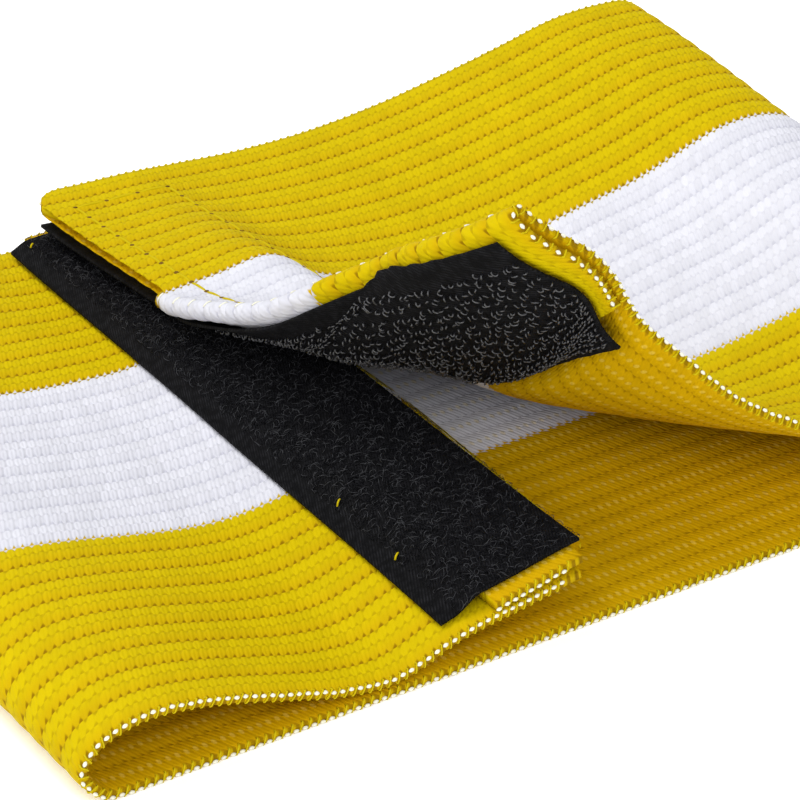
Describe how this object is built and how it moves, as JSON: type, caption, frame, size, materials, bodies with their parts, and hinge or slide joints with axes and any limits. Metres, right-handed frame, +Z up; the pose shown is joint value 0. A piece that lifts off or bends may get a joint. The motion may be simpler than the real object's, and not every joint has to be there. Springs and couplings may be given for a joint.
{
  "type": "captain armband",
  "caption": "Captain armband: a striped elastic band lying as a flattened loop, its hook and loop closure half open with one corner peeled back.",
  "frame": {"origin": "middle of the bounding box, on the surface the armband lies on", "axes": "+X along the flattened loop towards the fold that the upper end comes from, +Y across the webbing away from the peeled corner, +Z up"},
  "size_m": [0.1104, 0.08, 0.0357],
  "materials": {
    "striped_webbing": "woven elastic webbing, lengthwise ribs, yellow and white lanes",
    "black_loop_tape": "fuzzy brushed loop pile",
    "black_hook_tape": "dense nylon hooks with small glints"
  },
  "bodies": {
    "root": {"elastic_band": "striped_webbing", "loop_tape": "black_loop_tape", "hook_tape": "black_hook_tape"}
  },
  "joints": []
}
